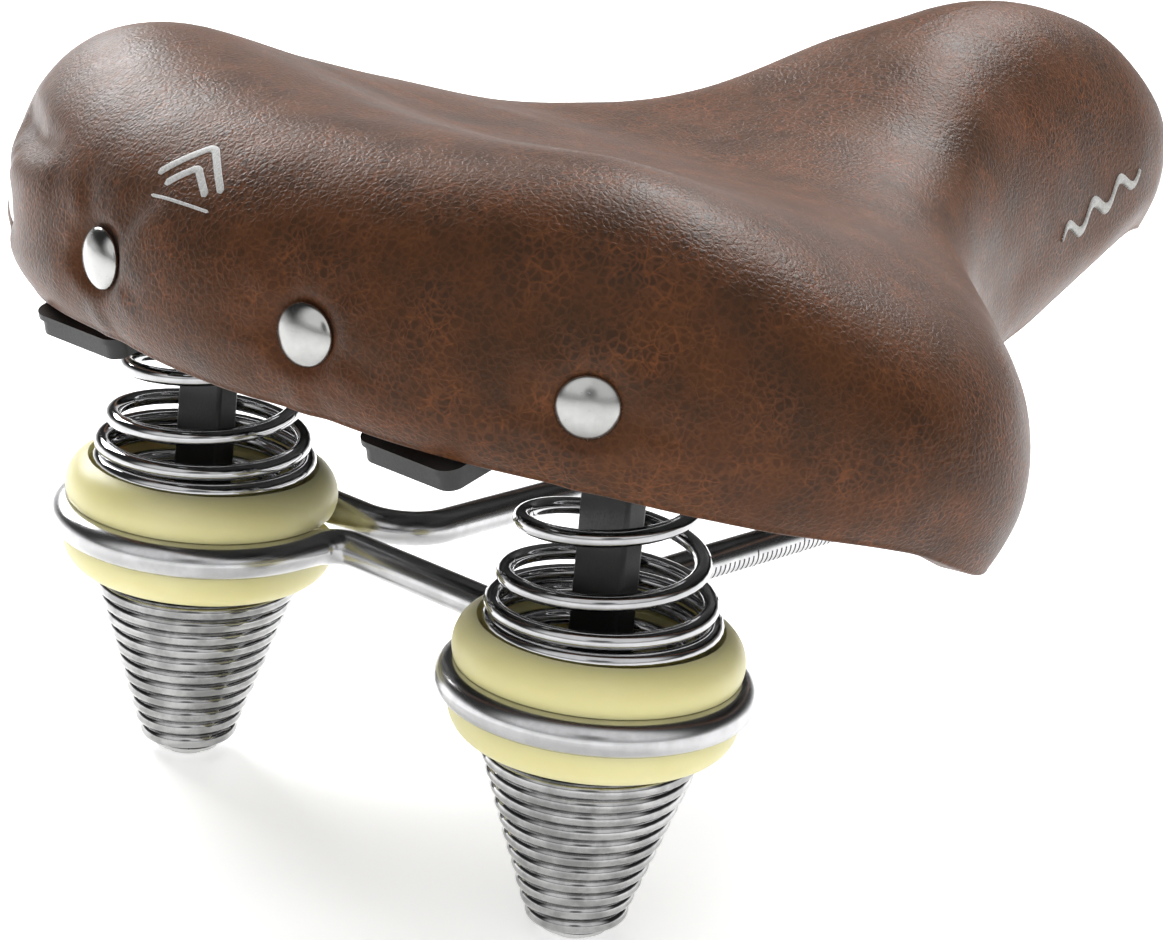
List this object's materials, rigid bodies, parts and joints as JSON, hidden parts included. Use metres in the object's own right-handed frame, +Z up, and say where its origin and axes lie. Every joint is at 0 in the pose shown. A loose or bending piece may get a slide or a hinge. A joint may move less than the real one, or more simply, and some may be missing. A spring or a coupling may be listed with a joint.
{
  "type": "sprung comfort bicycle saddle",
  "caption": "Wide padded bicycle saddle on two conical coil springs held in rubber donuts on a wire rail frame.",
  "frame": {"origin": "middle of the seatpost clamp zone: midway between the two rails, on the plane of their centrelines", "axes": "+X forward to the nose, +Y to the rider's left, +Z up"},
  "size_m": [0.281, 0.2228, 0.1482],
  "materials": {
    "rail_steel": "satin plated steel wire",
    "cream_rubber": "satin cream elastomer",
    "spring_chrome": "bright chrome plated spring steel",
    "cover_leatherette": "distressed brown faux leather, fine grain",
    "foam": "moulded polyurethane foam",
    "black_plastic": "fine moulded texture",
    "polished_rivet": "polished with light scratches",
    "small_steel": "zinc plated",
    "bush_plastic": "smooth bearing plastic"
  },
  "bodies": {
    "rail_frame": {"rail_wire": "rail_steel", "left_elastomer": "cream_rubber", "right_elastomer": "cream_rubber", "left_spring": "spring_chrome", "right_spring": "spring_chrome"},
    "saddle_top": {"cover": "cover_leatherette", "foam_pad": "foam", "base_shell": "black_plastic", "cover_rivets": "polished_rivet", "rivet_washers": "small_steel", "left_post": "black_plastic", "right_post": "black_plastic", "left_spring_cup": "black_plastic", "right_spring_cup": "black_plastic", "cup_screws": "small_steel", "left_tip_washer": "small_steel", "right_tip_washer": "small_steel", "tip_bolts": "small_steel", "left_bag_loop": "black_plastic", "right_bag_loop": "black_plastic", "bag_loop_screws": "small_steel", "nose_bush": "bush_plastic", "nose_clip": "small_steel", "nose_screws": "small_steel"}
  },
  "joints": [
    {"name": "suspension", "type": "hinge", "parent": "rail_frame", "child": "saddle_top", "pos_m": [0.114, 0, 0.046], "axis": [0, -1, 0], "range_deg": [0, 5], "stiffness_Nm_per_rad": 1000, "deforming": ["left_spring", "right_spring"]}
  ]
}
